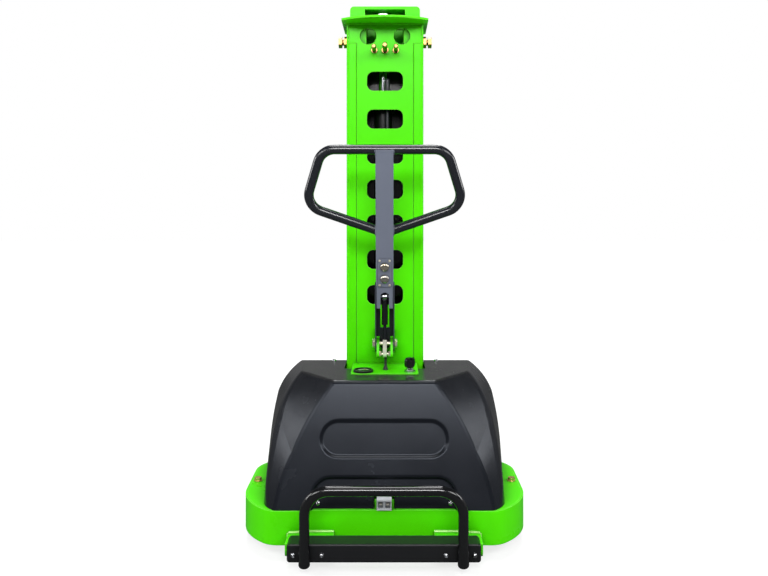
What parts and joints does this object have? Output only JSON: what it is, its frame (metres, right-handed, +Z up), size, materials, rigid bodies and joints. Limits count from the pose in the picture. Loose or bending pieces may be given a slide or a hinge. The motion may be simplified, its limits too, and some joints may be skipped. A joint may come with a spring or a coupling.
{
  "type": "semi-electric self-loading stacker",
  "caption": "Lime-green pedestrian stacker with a windowed mast, lifting forks over support legs, a black power cover, a loop-handled tiller and a bumper hoop.",
  "frame": {"origin": "on the floor, at the middle of the overall width and length", "axes": "+Y from the operator towards the fork tips, +X to the operator's right, +Z up"},
  "size_m": [0.712, 1.6942, 1.405],
  "materials": {
    "green_paint": "gloss lime-green powder coat",
    "cover_plastic": "satin moulded plastic",
    "black_paint": "gloss black paint",
    "tiller_paint": "satin blue-grey paint",
    "yellow_zinc": "yellow zinc plate",
    "bright_steel": "bright steel",
    "zinc_plate": "zinc plate",
    "rod_chrome": "hard chrome",
    "cylinder_steel": "black paint",
    "wheel_plastic": "cast nylon",
    "hose_rubber": "black rubber",
    "pack_plastic": "moulded plastic",
    "valve_aluminium": "machined",
    "motor_iron": "painted black",
    "strut_black": "gloss black",
    "connector_grey": "grey moulded plastic",
    "gauge_black": "black moulded plastic",
    "gauge_glass": "clear lens over a pale dial"
  },
  "bodies": {
    "chassis": {"deck_plate": "green_paint", "skirt_band": "green_paint", "bumper_brackets": "green_paint", "mast_channel_left": "green_paint", "mast_channel_right": "green_paint", "mast_front_panel": "green_paint", "mast_top_plate": "green_paint", "instrument_shelf": "green_paint", "tiller_base": "green_paint", "tiller_ears": "green_paint", "support_leg_left": "green_paint", "support_leg_right": "green_paint", "power_cover": "cover_plastic", "rear_bulkheads": "cover_plastic", "bumper_beam": "black_paint", "guard_hoop": "black_paint", "panel_studs": "yellow_zinc", "upper_roller_axles": "yellow_zinc", "caster_bolts": "yellow_zinc", "pivot_pins": "yellow_zinc", "button_screws": "bright_steel", "load_roller_axles": "bright_steel", "cylinder_pipes": "bright_steel", "key_switch": "bright_steel", "caster_top_plates": "zinc_plate", "lift_cylinder": "cylinder_steel", "lift_hose": "hose_rubber", "control_cable": "hose_rubber", "battery": "pack_plastic", "oil_tank": "pack_plastic", "valve_block": "valve_aluminium", "pump_motor": "motor_iron", "charging_connector": "connector_grey", "gauge_bezel": "gauge_black", "gauge_lens": "gauge_glass"},
    "lift_frame": {"inner_channels": "green_paint", "inner_back_plate": "black_paint", "mast_head": "green_paint", "piston_rod": "rod_chrome", "fork_carriage": "green_paint", "fork_left": "green_paint", "fork_right": "green_paint"},
    "upper_rollers": {"upper_rollers": "bright_steel"},
    "lower_rollers": {"lower_rollers": "bright_steel"},
    "tiller": {"tiller_bar": "tiller_paint", "tiller_yoke": "tiller_paint", "handle_loop": "black_paint", "button_plate": "tiller_paint", "plate_rivets": "bright_steel"},
    "raise_button": {"raise_button": "bright_steel"},
    "lower_button": {"lower_button": "bright_steel"},
    "strut_tube": {"strut_tube": "strut_black"},
    "strut_rod": {"strut_rod": "bright_steel"},
    "key": {"key": "gauge_black"},
    "caster_yoke_left": {"caster_yoke_left": "zinc_plate"},
    "caster_yoke_right": {"caster_yoke_right": "zinc_plate"},
    "caster_wheel_left": {"caster_wheel_left": "wheel_plastic"},
    "caster_wheel_right": {"caster_wheel_right": "wheel_plastic"},
    "load_roller_left": {"load_roller_left": "wheel_plastic"},
    "load_roller_right": {"load_roller_right": "wheel_plastic"}
  },
  "joints": [
    {"name": "fork_lift", "type": "slide", "parent": "chassis", "child": "lift_frame", "axis": [0, 0, 1], "range_m": [0, 0.95]},
    {"name": "upper_roller_spin", "type": "hinge", "parent": "chassis", "child": "upper_rollers", "pos_m": [0, -0.38075, 1.314], "axis": [1, 0, 0], "continuous": true},
    {"name": "lower_roller_spin", "type": "hinge", "parent": "lift_frame", "child": "lower_rollers", "pos_m": [0, -0.38075, 0.189], "axis": [1, 0, 0], "continuous": true},
    {"name": "tiller_tilt", "type": "hinge", "parent": "chassis", "child": "tiller", "pos_m": [0, -0.50075, 0.478], "axis": [1, 0, 0], "range_deg": [0, 65], "stiffness_Nm_per_rad": 6, "springref_deg": -37.24},
    {"name": "strut_swing", "type": "hinge", "parent": "tiller", "child": "strut_tube", "pos_m": [0, -0.54007, 0.6093], "axis": [1, 0, 0], "range_deg": [-7, 0]},
    {"name": "strut_slide", "type": "slide", "parent": "strut_tube", "child": "strut_rod", "axis": [0, -0.1797, 0.9837], "range_m": [0, 0.027]},
    {"name": "key_turn", "type": "hinge", "parent": "chassis", "child": "key", "pos_m": [0.066, -0.55275, 0.42], "axis": [0, 0, -1], "range_deg": [0, 90]},
    {"name": "raise_button_press", "type": "slide", "parent": "tiller", "child": "raise_button", "axis": [0, 0.9659, 0.2588], "range_m": [0, 0.003], "stiffness_N_per_m": 900, "springref_m": -0.002},
    {"name": "lower_button_press", "type": "slide", "parent": "tiller", "child": "lower_button", "axis": [0, 0.9659, 0.2588], "range_m": [0, 0.003], "stiffness_N_per_m": 900, "springref_m": -0.002},
    {"name": "caster_swivel_left", "type": "hinge", "parent": "chassis", "child": "caster_yoke_left", "pos_m": [-0.29, -0.48875, 0.09], "axis": [0, 0, 1], "continuous": true},
    {"name": "caster_wheel_spin_left", "type": "hinge", "parent": "caster_yoke_left", "child": "caster_wheel_left", "pos_m": [-0.29, -0.50875, 0.036], "axis": [1, 0, 0], "continuous": true},
    {"name": "load_roller_spin_left", "type": "hinge", "parent": "chassis", "child": "load_roller_left", "pos_m": [-0.1875, 0.66125, 0.037], "axis": [1, 0, 0], "continuous": true},
    {"name": "caster_swivel_right", "type": "hinge", "parent": "chassis", "child": "caster_yoke_right", "pos_m": [0.29, -0.48875, 0.09], "axis": [0, 0, 1], "continuous": true},
    {"name": "caster_wheel_spin_right", "type": "hinge", "parent": "caster_yoke_right", "child": "caster_wheel_right", "pos_m": [0.29, -0.50875, 0.036], "axis": [1, 0, 0], "continuous": true},
    {"name": "load_roller_spin_right", "type": "hinge", "parent": "chassis", "child": "load_roller_right", "pos_m": [0.1875, 0.66125, 0.037], "axis": [1, 0, 0], "continuous": true}
  ],
  "couplings": [
    {"joint": "upper_roller_spin", "follows": "fork_lift", "rad_per_m": -23.419},
    {"joint": "lower_roller_spin", "follows": "fork_lift", "rad_per_m": 19.342},
    {"joint": "strut_swing", "follows": "tiller_tilt", "ratio": -0.1011},
    {"joint": "strut_slide", "follows": "tiller_tilt", "m_per_rad": 0.02265}
  ]
}
